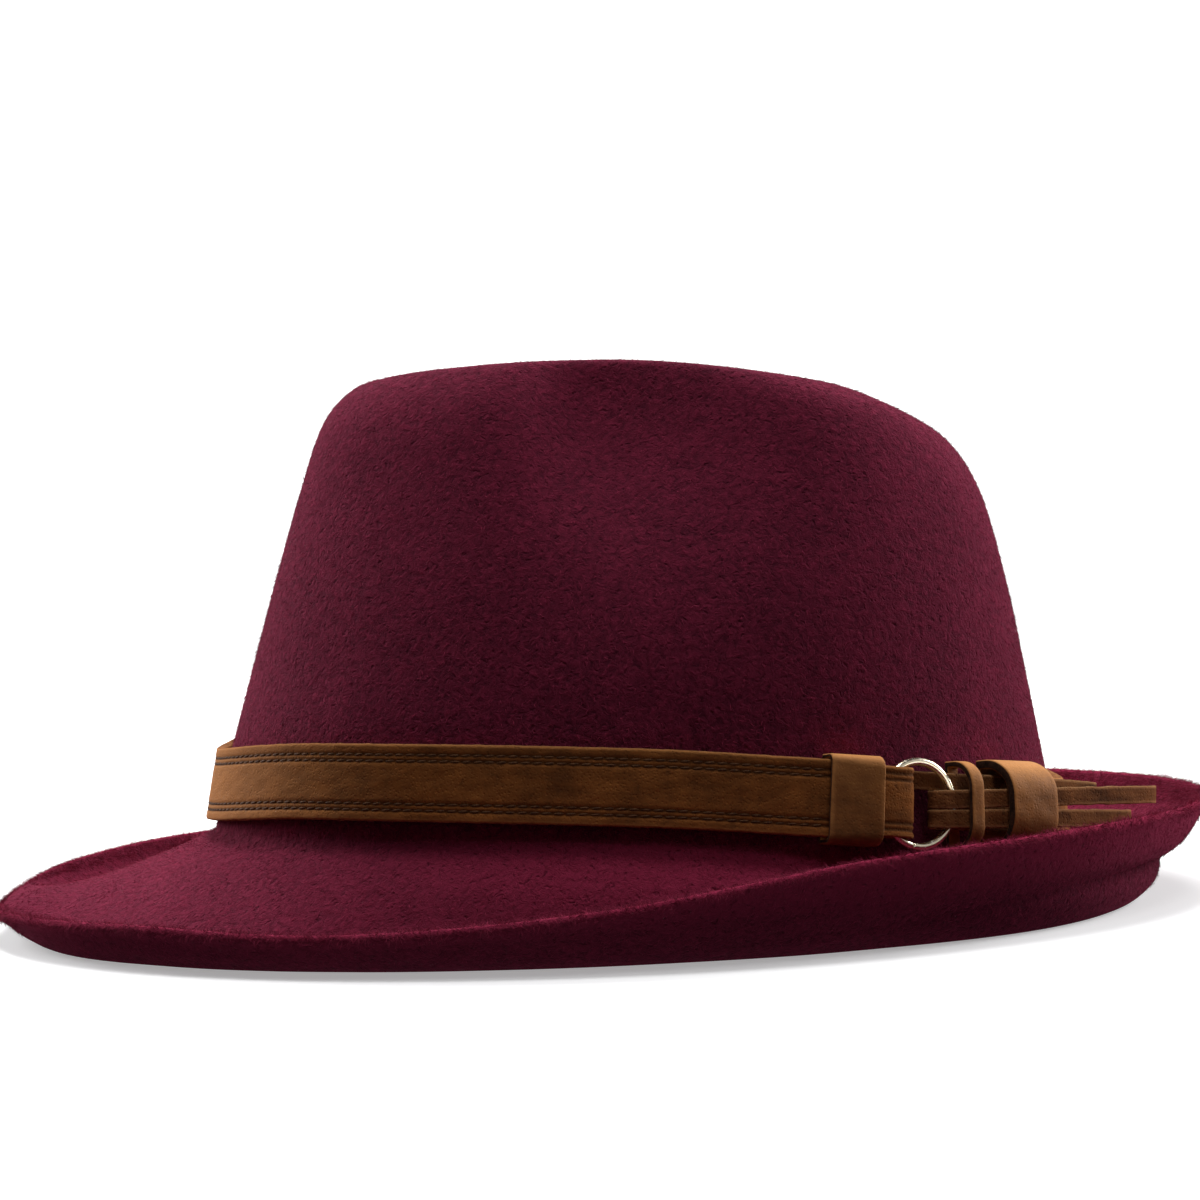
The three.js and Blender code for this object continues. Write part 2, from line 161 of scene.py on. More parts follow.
def feltLook():
    look, wire = newLook("burgundyFelt")
    place = wire.ownPlace()
    warp = wire.noise(place, 300.0, 2.0, output=1)
    bent = wire.add("ShaderNodeVectorMath", {"operation": "MULTIPLY_ADD"},
                    {0: warp, 1: (0.004, 0.004, 0.004), 2: place})
    patches = wire.noise(place, feltTone["patchScale"], 3.0).between(0.3, 0.7)
    tufts = wire.noise(bent, feltTone["tuftScale"], 4.0, 0.65)
    fibres = wire.noise(bent, feltTone["fibreScale"], 2.0, 0.6)
    pits = wire.cells(bent, feltTone["pitScale"]).between(0.05, 0.32)
    brim = wire.share("brim")
    # the brim attribute is painted light and shade: it lifts the tone on the brim's top and edge and lowers
    # it under the belt and behind the ring
    tone = ((tufts - 0.5) * feltTone["mottle"] + (fibres - 0.5) * feltTone["fibreMottle"] + patches * 0.2
            + feltTone["middle"] + brim * feltTone["paintedLightLift"])
    lit = tone.clamp().blend(feltTone["deep"], feltTone["body"])
    flecks = (fibres.between(0.6, 0.82) * tufts.between(0.5, 0.66)).clamp() * 0.5
    # painted highlight: where the painted light is strongest the tone turns to the rim colour
    lit = ((brim - 1.1) * 0.7).clamp().blend(lit, feltTone["rim"])
    color = (pits * 0.35 + 0.65).clamp().blend(feltTone["deep"], flecks.blend(lit, feltTone["light"]))
    constants = {"Sheen Weight": feltTone["sheenWeight"], "Sheen Roughness": 0.45,
                 "Sheen Tint": feltTone["sheen"], "Specular IOR Level": 0.03}
    varying = {"Base Color": color, "Roughness": 0.9 + fibres * 0.1}
    finishLook(wire, constants, varying, [(tufts * 0.7 + pits * 0.3, 0.9, feltTone["tuftRelief"]),
                                          (fibres, 0.6, feltTone["fibreRelief"])])
    return look


napTone = {
    "dark": rgb(0.085, 0.009, 0.022),
    "light": rgb(0.40, 0.042, 0.095),
}


def napLook():
    look, wire = newLook("feltNap")
    tone = wire.share("tone")
    color = tone.blend(napTone["dark"], napTone["light"])
    constants = {"Roughness": 0.85, "Specular IOR Level": 0.05, "Sheen Weight": 0.2,
                 "Sheen Tint": feltTone["sheen"]}
    finishLook(wire, constants, {"Base Color": color}, [])
    return look


# sizes of the leather's marks, shared by its three finishes; pairs run along and across the strap
leatherMarks = {
    "clouds": 90.0, "grain": 1500.0, "pores": 1300.0, "specks": 420.0, "cut": 900.0,
    "creases": (260.0, 60.0, 1.0), "streaks": (45.0, 520.0, 1.0), "pressed": (420.0, 1500.0, 1.0),
    "cloudRelief": 0.8 * mm, "grainRelief": 0.25 * mm,
}


# one recipe for every strap: grain, patches of rubbing that also carry painted light, darker edges, stitch
# grooves that also carry painted shade, and fibrous cut faces
def leatherLook(name, tone):
    look, wire = newLook(name)
    place = wire.ownPlace()
    strap = wire.add("ShaderNodeUVMap", {"uv_map": "strap"})
    cut = wire.share("cut")
    wornAndLit = wire.share("wornAndLit")
    seamAndShade = wire.share("seamAndShade")
    clouds = wire.noise(place, leatherMarks["clouds"], 4.0, 0.6)
    grain = wire.noise(place, leatherMarks["grain"], 3.0, 0.6)
    pores = wire.cells(place, leatherMarks["pores"]).between(0.1, 0.45)
    specks = wire.noise(place, leatherMarks["specks"], 2.0, 0.5).between(0.66, 0.74)
    creases = wire.noise(wire.stretched(strap, leatherMarks["creases"]), 1.0, 3.0, 0.6)
    streaks = wire.noise(wire.stretched(strap, leatherMarks["streaks"]), 1.0, 3.0, 0.6)
    shade = (clouds - 0.5) * 1.9 + (streaks - 0.5) * 0.9 + (grain - 0.5) * 0.6 + (creases - 0.5) * 0.8 + 0.5
    face = shade.clamp().blend(tone["deep"], tone["body"])
    face = (specks * 0.6).blend(face, tone["deep"])
    # the rubbing tone: wear on strap edges and loop ends, painted light on the belt's front and on the loops'
    # tops
    face = (wornAndLit * (grain * 0.6 + 0.55)).clamp().blend(face, tone["rubbedAndLit"])
    # dark stitch grooves, and painted shade towards the loops' lower side
    pressed = wire.noise(wire.stretched(strap, leatherMarks["pressed"]), 1.0, 2.0).between(0.2, 0.55)
    face = (seamAndShade.between(0.25, 0.8) * (pressed * 0.5 + 0.25)).clamp().blend(face, tone["seamAndShade"])
    rough = wire.noise(place, leatherMarks["cut"], 3.0, 0.7)
    edge = rough.between(0.3, 0.7).blend(tone["cutDeep"], tone["cut"])
    color = cut.blend(face, edge)
    height = (grain * 0.6 + pores * 0.4) * (1 - cut) + rough * cut * 1.6 + creases * 0.5
    constants = {"Specular IOR Level": tone["gloss"], "Sheen Weight": tone["sheen"],
                 "Sheen Roughness": 0.5, "Sheen Tint": tone["sheenTint"]}
    varying = {"Base Color": color, "Roughness": tone["roughness"] + (grain - 0.5) * 0.25 + cut * 0.2}
    finishLook(wire, constants, varying, [(clouds, 0.25, leatherMarks["cloudRelief"]),
                                          (height, tone["relief"], leatherMarks["grainRelief"])])
    return look


beltTone = {
    "body": rgb(0.35, 0.122, 0.03), "deep": rgb(0.14, 0.05, 0.0165), "rubbedAndLit": rgb(0.50, 0.21, 0.065),
    "cut": rgb(0.36, 0.155, 0.06), "cutDeep": rgb(0.12, 0.048, 0.02), "seamAndShade": rgb(0.07, 0.029, 0.012),
    "gloss": 0.03, "sheen": 0.02, "sheenTint": rgb(0.8, 0.3, 0.08), "roughness": 0.75, "relief": 0.7,
}
tailTone = {
    **beltTone, "body": rgb(0.24, 0.088, 0.03), "deep": rgb(0.07, 0.027, 0.012),
    "rubbedAndLit": rgb(0.42, 0.2, 0.085), "cut": rgb(0.46, 0.27, 0.13), "cutDeep": rgb(0.11, 0.05, 0.022),
    "roughness": 0.85, "relief": 1.0,
}
keeperTone = {
    **beltTone, "body": rgb(0.40, 0.155, 0.042), "deep": rgb(0.17, 0.064, 0.02),
    "rubbedAndLit": rgb(0.66, 0.29, 0.095), "cut": rgb(0.06, 0.028, 0.017), "cutDeep": rgb(0.015, 0.008, 0.006),
    "gloss": 0.1, "sheen": 0.04, "sheenTint": rgb(0.85, 0.42, 0.15), "roughness": 0.65, "relief": 0.4,
}


threadTone = {
    "dark": rgb(0.055, 0.024, 0.011), "light": rgb(0.17, 0.075, 0.032),
    "strands": 3000.0, "roughness": 0.6, "gloss": 0.12, "relief": 0.1 * mm,
}


def threadLook():
    look, wire = newLook("waxedThread")
    strands = wire.noise(wire.ownPlace(), threadTone["strands"], 2.0)
    color = strands.between(0.35, 0.7).blend(threadTone["dark"], threadTone["light"])
    varying = {"Base Color": color, "Roughness": threadTone["roughness"] + strands * 0.3}
    finishLook(wire, {"Specular IOR Level": threadTone["gloss"]}, varying,
               [(strands, 0.4, threadTone["relief"])])
    return look


ringTone = {
    "dull": rgb(0.88, 0.74, 0.50), "bright": rgb(0.95, 0.88, 0.72),
    "wear": 700.0, "roughness": 0.2, "wornRoughness": 0.16, "relief": 0.1 * mm,
}


def ringLook():
    look, wire = newLook("paleGoldWire")
    wear = wire.noise(wire.ownPlace(), ringTone["wear"], 4.0, 0.6)
    color = wear.between(0.3, 0.75).blend(ringTone["dull"], ringTone["bright"])
    rough = ringTone["roughness"] + wear.between(0.5, 0.8) * ringTone["wornRoughness"]
    varying = {"Base Color": color, "Roughness": rough}
    finishLook(wire, {"Metallic": 1.0}, varying, [(wear, 0.08, ringTone["relief"])])
    return look


looks = {
    "felt": feltLook(),
    "nap": napLook(),
    "belt": leatherLook("rubbedBrownLeather", beltTone),
    "tail": leatherLook("roughTailLeather", tailTone),
    "keeper": leatherLook("waxedTanLeather", keeperTone),
    "thread": threadLook(),
    "ring": ringLook(),
}
print("looks made:", len(looks))


# the felt's shape, in millimetres: -X is the front and -Y the hat's left side

def table(columns, rows):
    return [dict(zip(columns, row)) for row in rows]


crownRings = table(
    ("name", "front", "rear", "half", "egg", "zFront", "zFrontQuarter", "zSide", "zRearQuarter", "zRear"),
    [
        ("dentCentre", 2, 4, 0.6, 0, 111.4, 111.4, 111.4, 111.3, 111.2),
        ("dentFloor", -20, 26, 12, 0.2, 112, 112, 112, 111, 109),
        ("dentWall", -35, 46, 25, 0.26, 119, 120, 120, 116, 111.5),
        ("crestInside", -44, 58, 34, 0.28, 127, 129, 129.5, 123, 116),
        ("crest", -51, 66, 40, 0.28, 129.6, 131.4, 131.6, 125.2, 118.4),
        ("crestOutside", -58, 75, 46, 0.26, 127.9, 129, 129.6, 123.4, 115.6),
        ("shoulder", -65.3, 85.2, 54, 0.18, 120.3, 120, 121, 116, 110),
        ("upperWall", -71, 93, 62, 0.12, 105.8, 104.5, 105, 101, 97.5),
        ("middleWall", -78.4, 98.6, 71.5, 0.06, 83, 81.5, 82, 78, 75.5),
        ("lowerWall", -85.4, 103.2, 78, 0.02, 60, 61, 61.5, 55, 49),
        ("beltTop", -90.6, 106.8, 81.8, 0, 42.5, 46.6, 44.3, 34.8, 27),
        ("beltBottom", -95, 109.5, 85, 0, 25, 29, 27, 17.5, 10),
    ])
brimRoot = {"front": -96.6, "rear": 111.4, "half": 86.8, "egg": 0}
brimEdge = {"front": -147.6, "rear": 142.8, "half": 118.5, "egg": 0}
brimRings = ("root", "slope", "dip", "restInside", "restOutside", "curl", "crease", "flange", "edge")
# a row for each section from the front round to the rear: how far out each ring lies, and its height
brimSections = table(
    ("rootZ", *(name + part for name in brimRings[1:-1] for part in ("At", "Z")), "edgeZ"),
    [
        (22.2, 0.24, 17.2, 0.5, 12.6, 0.7, 10.4, 0.8, 9.8, 0.88, 9.6, 0.92, 9.4, 0.96, 9, 7.8),
        (22.8, 0.24, 15.8, 0.48, 9.6, 0.68, 4.4, 0.8, 3, 0.87, 3.6, 0.91, 4.8, 0.95, 6.6, 9.8),
        (23.6, 0.22, 15, 0.44, 8, 0.62, 2.8, 0.74, 2.2, 0.82, 3.2, 0.87, 4.6, 0.93, 7, 11.6),
        (23.4, 0.2, 15, 0.38, 7, 0.53, 2.2, 0.64, 2.1, 0.77, 3.4, 0.84, 4.6, 0.92, 6.8, 10.2),
        (21.6, 0.17, 14, 0.31, 6.2, 0.42, 2.1, 0.55, 2.1, 0.7, 3.6, 0.8, 5.6, 0.9, 8.8, 13),
        (16.2, 0.16, 11.4, 0.29, 5.2, 0.42, 2.1, 0.56, 2.1, 0.7, 4.4, 0.78, 6.8, 0.89, 11.4, 19.6),
        (11.8, 0.16, 8.6, 0.3, 4.2, 0.45, 2.1, 0.63, 2.1, 0.77, 6.2, 0.81, 10.4, 0.89, 14, 21.9),
        (8.4, 0.14, 6.2, 0.25, 3.6, 0.36, 2.1, 0.52, 2.1, 0.66, 6, 0.685, 11.7, 0.84, 14.4, 22.5),
        (6.8, 0.1, 5.2, 0.18, 3.6, 0.24, 2.1, 0.4, 2.1, 0.57, 6.2, 0.6, 11.8, 0.82, 14.7, 22.8),
    ])
felt = {
    "wall": 2.4,
    "sides": 288,
    "steps": 8,             # rows from one named ring to the next
    "insideSteps": 3,       # the same, up inside the crown
    "rimRows": 7,
    "edgeRows": 4,          # outer rows that count as the brim's edge
    "brimTwist": 2.1,
}
# the parts of the felt, each with its own nap or none; under the belt the felt takes painted shade
zones = {"crown": 0, "brim": 1, "underside": 2, "inside": 3, "edge": 4, "pressed": 5}
# painted light and shade on the felt: 0 is the crown's own tone, more is painted light and less than 0 is
# painted shade
paintedLight = {
    "top": 0.9, "fadeRows": 4,                              # painted light on the brim's upper face, out from the belt
    "slope": 0.9, "slopeRow": 10, "slopeRows": 9.0,         # more painted light beside the belt, on the hat's sides
    "rearMore": 0.3, "rearOver": 100,                       # more at the rear, less at the front
    "pressed": -0.8,                                        # painted shade under the belt
    "paintedShade": 2.2, "paintedShadeAt": (72, -71, 25), "paintedShadeSize": 15,     # painted shade: darker in the corner behind the ring
    "rim": 1.5, "rimRows": 18, "rimMost": 2.5,              # painted light on the edge, fading away underneath
    "rimRearFrom": -20, "rimRearOver": 120,
}
pinch = {"depth": 19, "x": 1, "z": 121, "lean": 0.15, "ahead": 16, "behind": 38,
         "above": 20, "below": 29, "fullAt": 30}


def curveThrough(before, start, end, after, t):
    bend = 2 * before - 5 * start + 4 * end - after
    twist = 3 * start - before - 3 * end + after
    return 0.5 * (2 * start + (end - before) * t + bend * t ** 2 + twist * t ** 3)


# values evenly spread from the front (half a turn) to the rear (zero)
def aroundHat(values, angle):
    values = np.array(values, float)
    last = len(values) - 1
    fromFront = np.abs(np.arctan2(np.sin(angle), -np.cos(angle)))
    place = fromFront / math.pi * last
    i = np.minimum(place.astype(int), last - 1)
    # past either end the values run back the way they came
    near = [values[last - np.abs(last - np.abs(i + k))] for k in (-1, 0, 1, 2)]
    return curveThrough(*near, place - i)


def ovalPoints(oval, angle):
    middle = (oval["front"] + oval["rear"]) / 2
    reach = (oval["rear"] - oval["front"]) / 2
    width = oval["half"] * (1 + oval["egg"] * np.cos(angle))
    return middle + reach * np.cos(angle), width * np.sin(angle)


def ringHeight(ring, angle):
    return aroundHat([ring[k] for k in ("zFront", "zFrontQuarter", "zSide", "zRearQuarter", "zRear")], angle)


def crownPoints(ring, angle):
    x, y = ovalPoints(ring, angle)
    return np.stack([x, y, ringHeight(ring, angle)], -1)


def brimColumn(key, angle):
    return aroundHat([section[key] for section in brimSections], angle)


def brimPoints(name, angle):
    rootX, rootY = ovalPoints(brimRoot, angle)
    edgeX, edgeY = ovalPoints(brimEdge, angle)
    ends = {"root": 0 * angle, "edge": 0 * angle + 1}
    at = ends[name] if name in ends else brimColumn(name + "At", angle)
    rest = brimColumn("restOutsideAt", angle)
    beyond = np.maximum(at - rest, 0) / (1 - rest)
    ahead = (1 - np.cos(angle)) / 2
    z = brimColumn(name + "Z", angle) - felt["brimTwist"] * np.sin(2 * angle) * ahead * beyond
    return np.stack([rootX + (edgeX - rootX) * at, rootY + (edgeY - rootY) * at, z], -1)


def pinched(points):
    x, y, z = points[..., 0], points[..., 1], points[..., 2]
    middle = pinch["x"] + (pinch["z"] - z) * pinch["lean"]
    length = np.where(x < middle, pinch["ahead"], pinch["behind"])
    height = np.where(z > pinch["z"], pinch["above"], pinch["below"])
    fade = ((x - middle) / length) ** 2 + ((z - pinch["z"]) / height) ** 2
    inward = pinch["depth"] * np.exp(-fade) * np.tanh(y / pinch["fullAt"])
    return np.stack([x, y - inward, z], -1)


def feltRows(angle, levels):
    rings = np.array([crownPoints(ring, angle) for ring in crownRings]
                     + [brimPoints(name, angle) for name in brimRings])
    ends = [2 * rings[:1] - rings[1:2], rings, 2 * rings[-1:] - rings[-2:-1]]
    rings = np.concatenate(ends)
    rows = []
    for level in levels:
        i = min(int(level), len(rings) - 4)
        rows.append(curveThrough(rings[i], rings[i + 1], rings[i + 2], rings[i + 3], level - i))
    return pinched(np.array(rows))


def gridNormals(rows):
    down = np.gradient(rows, axis=0)
    right = np.roll(rows, -1, axis=1) - np.roll(rows, 1, axis=1)
    normal = np.cross(down, right)
    return normal / np.maximum(np.linalg.norm(normal, axis=2, keepdims=True), 1e-9)


def newPiece(name, data):
    piece = bpy.data.objects.new(name, data)
    bpy.context.scene.collection.objects.link(piece)
    return piece


def meshFrom(name, points, faces, look):
    mesh = bpy.data.meshes.new(name)
    mesh.from_pydata((np.array(points) * mm).tolist(), [], faces)
    mesh.materials.append(look)
    mesh.shade_smooth()
    return newPiece(name, mesh)


# a value at each point, for the looks and the nap to read
def addShare(piece, name, values, kind="FLOAT", numbers=np.float32):
    data = piece.data.attributes.new(name, kind, "POINT").data
    data.foreach_set("value", np.array(values, numbers))


# quads between rows that hold count points each
def skinFaces(rowCount, count, rowsClose=False):
    faces = []
    for row in range(rowCount if rowsClose else rowCount - 1):
        near = row * count
        far = (row + 1) % rowCount * count
        for i in range(count):
            n = (i + 1) % count
            faces.append((near + i, far + i, far + n, near + n))
    return faces


# painted light and shade for the felt, a value at each point
def paintedLightShares(points, angle, brimStart, outerRows, rimRows, pressed):
    index = np.arange(len(points))
    row = index // len(angle)
    x = points[:, 0]
    besideBelt = np.exp(-((row - brimStart - paintedLight["slopeRow"]) / paintedLight["slopeRows"]) ** 2)
    slope = besideBelt * np.sin(angle[index % len(angle)]) ** 4
    top = np.clip((row - brimStart) / paintedLight["fadeRows"], 0, 1) * (paintedLight["top"] + paintedLight["slope"] * slope)
    top *= 1 + paintedLight["rearMore"] * np.clip(x / paintedLight["rearOver"], -1, 1)
    # painted shade under the belt and in the corner behind the ring
    top[pressed] = paintedLight["pressed"]
    away = np.linalg.norm(points - np.array(paintedLight["paintedShadeAt"]), axis=1) / paintedLight["paintedShadeSize"]
    top -= paintedLight["paintedShade"] * np.exp(-away ** 4)
    # painted light on the edge and the underside's outer rows, more at the rear
    rearward = np.clip((x - paintedLight["rimRearFrom"]) / paintedLight["rimRearOver"], 0, 1)
    inward = 1 - (row - outerRows - rimRows) / paintedLight["rimRows"]
    rim = np.clip((paintedLight["rim"] + rearward) * inward, 0, paintedLight["rimMost"])
    return np.where(row < outerRows, top, rim)


# rows that close the felt's edge, round it from the upper face to the lower
def roundedRim(outer, under):
    top, bottom = outer[-1], under[-1]
    middle, half = (top + bottom) / 2, (top - bottom) / 2
    outward = top - outer[-2]
    outward *= (np.linalg.norm(half, axis=1) / np.linalg.norm(outward, axis=1))[:, None]
    turns = [math.pi * k / (felt["rimRows"] + 1) for k in range(1, felt["rimRows"] + 1)]
    return np.array([middle + half * math.cos(turn) + outward * math.sin(turn) for turn in turns])


def buildFelt():
    sides = felt["sides"]
    angle = np.linspace(0, 2 * math.pi, sides, endpoint=False)
    ringCount = len(crownRings) + len(brimRings)
    crownLast = len(crownRings) - 1
    levels = np.arange(0, (ringCount - 1) * felt["steps"] + 1) / felt["steps"]
    outer = feltRows(angle, levels)
    under = outer - gridNormals(outer) * felt["wall"]
    under[..., 2] = np.maximum(under[..., 2], 0)
    # inside the crown fewer rows are enough
    wanted = [i for i, level in enumerate(levels) if level > crownLast or i % felt["insideSteps"] == 0]
    under = under[wanted]
    rim = roundedRim(outer, under)
    rows = np.concatenate([outer, rim, under[::-1]])
    points = list(rows.reshape(-1, 3)) + [outer[0].mean(0), under[0].mean(0)]
    faces = skinFaces(len(rows), sides)
    last = (len(rows) - 1) * sides
    for i in range(sides):
        n = (i + 1) % sides
        faces.append((len(points) - 2, i, n))
        faces.append((len(points) - 1, last + n, last + i))
    piece = meshFrom("felt_shell", points, faces, looks["felt"])
    brimStart = sum(levels <= crownLast)
    underStart = len(outer) + len(rim)
    zone = np.full(len(points), zones["crown"])
    zone[brimStart * sides:len(outer) * sides] = zones["brim"]
    zone[len(outer) * sides:] = zones["underside"]
    zone[(underStart + sum(levels[wanted] > crownLast)) * sides:] = zones["inside"]
    zone[(len(outer) - felt["edgeRows"]) * sides:underStart * sides] = zones["edge"]
    underBelt = (levels > crownLast - 0.9) & (levels < crownLast + 0.1)
    zone[:len(outer) * sides][np.repeat(underBelt, sides)] = zones["pressed"]
    addShare(piece, "zone", zone, "INT", np.int32)
    # the brim attribute holds the painted light and shade over the whole felt
    paintedTone = paintedLightShares(np.array(points), angle, brimStart, len(outer), len(rim), zone == zones["pressed"])
    addShare(piece, "brim", paintedTone)
    return piece


feltPiece = buildFelt()
print("felt shaped:", len(feltPiece.data.polygons), "faces")


# the belt's own frame: along it, across it and out from the crown

strap = {
    "width": 17.1, "leather": 2.6, "foldLeather": 1.6, "foldWidth": 15.6,
    "gap": 0.3, "lean": 0.9, "samples": 1440, "ringX": 66.8,
}
beltTop, beltBottom = crownRings[-2], crownRings[-1]


def beltPoints(angle, up):
    off = (strap["gap"], strap["gap"] + strap["lean"])
    made = []
    for ring, by in zip((beltBottom, beltTop), off):
        wider = {"front": ring["front"] - by, "rear": ring["rear"] + by,
                 "half": ring["half"] + by, "egg": ring["egg"]}
        x, y = ovalPoints(wider, angle)
        made.append(np.stack([x, y, ringHeight(ring, angle)], -1))
    return made[0] + (made[1] - made[0]) * up


def unit(v):
    return v / np.linalg.norm(v)


def measureBelt():
    ends = beltPoints(np.array([0, math.pi]), 0.5)[:, 0]
    middle, reach = ends.mean(), (ends[0] - ends[1]) / 2
    start = -math.acos((strap["ringX"] - middle) / reach)
    angles = start + np.linspace(0, 2 * math.pi, strap["samples"] + 1)
    points = beltPoints(angles, 0.5)
    lengths = np.concatenate([[0], np.cumsum(np.linalg.norm(np.diff(points, axis=0), axis=1))])
    return angles, lengths


beltAngles, beltLengths = measureBelt()
once = beltLengths[-1]


def beltFrame(along):
    angle = np.interp(along % once, beltLengths, beltAngles)
    near = np.array([angle - 0.01, angle, angle + 0.01])
    line = beltPoints(near, 0.5)
    upward = (beltPoints(near, 1.0) - beltPoints(near, 0.0))[1]
    ahead = unit(line[2] - line[0])
    outward = unit(np.cross(ahead, upward))
    return {"origin": line[1], "ahead": ahead, "outward": outward, "across": np.cross(outward, ahead)}


def placed(at, along, across, height):
    return at["origin"] + at["ahead"] * along + at["across"] * across + at["outward"] * height


ringFrame = beltFrame(0)


# straps: a rounded section carried through stations

# a closed outline, anticlockwise from the lower inner corner; x is across and y is the face's height
def strapSection(width, leather, corner, faceSteps, grooves=()):
    half, thick = width / 2, leather / 2
    outline = []
    corners = ((half, -thick), (half, thick), (-half, thick), (-half, -thick))
    for k, (x, y) in enumerate(corners):
        cx, cy = x - math.copysign(corner, x), y - math.copysign(corner, y)
        for s in range(4):
            turn = (k - 1) * math.pi / 2 + s / 3 * math.pi / 2
            outline.append((cx + corner * math.cos(turn), cy + corner * math.sin(turn)))
        if k == 1:
            for x in np.linspace(half - corner, -half + corner, faceSteps + 2)[1:-1]:
                dip = sum(depth * math.exp(-((x - at) / size) ** 2) for at, depth, size in grooves)
                outline.append((x, thick - dip))
    return outline


# how cut a point is: 1 on the narrow faces, 0 on the wide ones
def cutShare(x, y, width, leather):
    return 1.0 if abs(x) > width / 2 - 0.16 and abs(y) < leather / 2 - 0.1 else 0.0


def ripple(a, b, seed):
    return (math.sin(a * 0.9 + seed) * math.sin(b * 1.3 + seed * 1.7)
            + 0.6 * math.sin(a * 2.3 + b * 1.9 + seed * 2.1)
            + 0.4 * math.sin(a * 5.1 - b * 2.7 + seed * 0.6)) / 2


# the face with the grooves is on the left of the run, or on its right where side is -1
def sweepStrap(name, stations, look, corner=0.35, faceSteps=10, grooves=(), wobble=0.05, seed=1.0, side=1):
    points, cut, seamAndShade, wornAndLit, uvs = [], [], [], [], []
    travelled = 0.0
    last = len(stations) - 1
    for i, at in enumerate(stations):
        ahead = stations[min(i + 1, last)]["centre"] - stations[max(i - 1, 0)]["centre"]
        thick = unit(np.cross(ahead, at["across"]))
        if i:
            travelled += np.linalg.norm(at["centre"] - stations[i - 1]["centre"])
        section = strapSection(at["width"], at["leather"], corner, faceSteps, grooves)
        around = 0.0
        for k, (x, y) in enumerate(section):
            shift = wobble * ripple(travelled * 0.35, x, seed)
            edge = wobble * 2 * ripple(travelled * 0.5, 0, seed + 3) * abs(x) / at["width"] * 2
            outOfLine = at["across"] * (x + math.copysign(edge, x)) + thick * (side * y + shift)
            points.append(at["centre"] + outOfLine)
            cut.append(cutShare(x, y, at["width"], at["leather"]))
            seamAndShade.append(sum(math.exp(-((x - row) / size) ** 2) for row, _, size in grooves) if y > 0 else 0)
            # a strap's edges get the rubbing tone, and a station's own share adds painted light
            rubbedAndLit = at.get("rubbedAndLit", 0.0)
            wornAndLit.append((max(rubbedAndLit, 0.7) if at["width"] / 2 - abs(x) < 0.55 else rubbedAndLit) if y > 0 else 0.0)
            around += math.dist(section[k - 1], (x, y)) if k else 0
            uvs.append((travelled * mm, around * mm))
    count = len(section)
    faces = skinFaces(len(stations), count)
    first = len(points)
    for row, flip in ((0, False), (last, True)):
        points.append(np.mean(points[row * count:(row + 1) * count], axis=0))
        cut.append(1.0)
        seamAndShade.append(0.0)
        wornAndLit.append(0.0)
        uvs.append((travelled * mm * (row > 0), 0.0))
        for k in range(count):
            a, b = row * count + k, row * count + (k + 1) % count
            faces.append((first, b, a) if flip else (first, a, b))
        first += 1
    piece = meshFrom(name, points, faces, look)
    addPattern(piece, {"cut": cut, "seamAndShade": seamAndShade, "wornAndLit": wornAndLit}, uvs)
    return piece


def addPattern(piece, shares, uvs):
    mesh = piece.data
    for name, values in shares.items():
        addShare(piece, name, values)
    layer = mesh.uv_layers.new(name="strap")
    corners = np.zeros(len(mesh.loops), int)
    mesh.loops.foreach_get("vertex_index", corners)
    layer.data.foreach_set("uv", np.array(uvs, np.float32)[corners].ravel())


def mixed(a, b, t):
    return a + (b - a) * t


def stationAt(at, along, across, height, leather, width):
    centre = placed(at, along, across, height)
    return {"centre": centre, "across": at["across"], "width": width, "leather": leather}


# rows of (along, under, leather, width), with a station about every step millimetres
def beltStations(route, step, across=0.0):
    stations = []
    for i, row in enumerate(route):
        following = route[i + 1] if i + 1 < len(route) else row
        steps = max(math.ceil(abs(following[0] - row[0]) / step), 1)
        for k in range(1 if following is row else steps):
            along, under, leather, width = (mixed(a, b, k / steps) for a, b in zip(row, following))
            stations.append(stationAt(beltFrame(along), 0, across, under + leather / 2, leather, width))
    return stations


# half a turn in the ring's frame, from below to above, bulging ahead (1) or back (-1)
def bendStations(bend, side, across, leather, width, steps=16):
    stations = []
    for k in range(steps + 1):
        turn = math.pi * k / steps - math.pi / 2
        along = bend["along"] + side * bend["radius"] * math.cos(turn)
        height = bend["height"] + bend["radius"] * math.sin(turn)
        stations.append(stationAt(ringFrame, along, across, height, leather, width))
    return stations


def smoothed(stations, rounds):
    for _ in range(rounds):
        centres = [s["centre"] for s in stations]
        for i in range(1, len(stations) - 1):
            stations[i]["centre"] = (centres[i - 1] + 2 * centres[i] + centres[i + 1]) / 4
    return stations


# leather and width of the folded end, the strap and a tail
fold = (strap["foldLeather"], strap["foldWidth"])
full = (strap["leather"], strap["width"])
tailSize = (1.7, 4)
slit = 32       # where the strap is cut into tails
# each row of a route: along from the ring's middle, height of the lower face, leather and width
belt = {
    "step": 1.6,
    "foldRoute": [(-19, 1.5, *fold), (-8, 1.5, *fold)],
    "foldBend": {"along": -4.7, "height": 3.9, "radius": 2.1},
    "overRoute": [(-9, 5.7, *fold), (-11.4, 5.7, *fold), (-16, 3.4, fold[0], 16.6),
                  (-19.6, 3.4, fold[0], full[1]), (-23.6, 1.9, *full), (-33, 0, *full)],
    "farRoute": [(46, 0, *full), (36, 1.5, *full), (slit, 1.5, tailSize[0], full[1])],
    "stitchRows": (2.4, 3.8),        # in from each edge
    "grooveDepth": 0.28,
    "grooveSize": 0.45,
    "frontLight": 0.85,                # painted light: the belt is lighter at the hat's front
    "lightFrom": 45, "lightOver": 45,    # ahead of the hat's middle
}


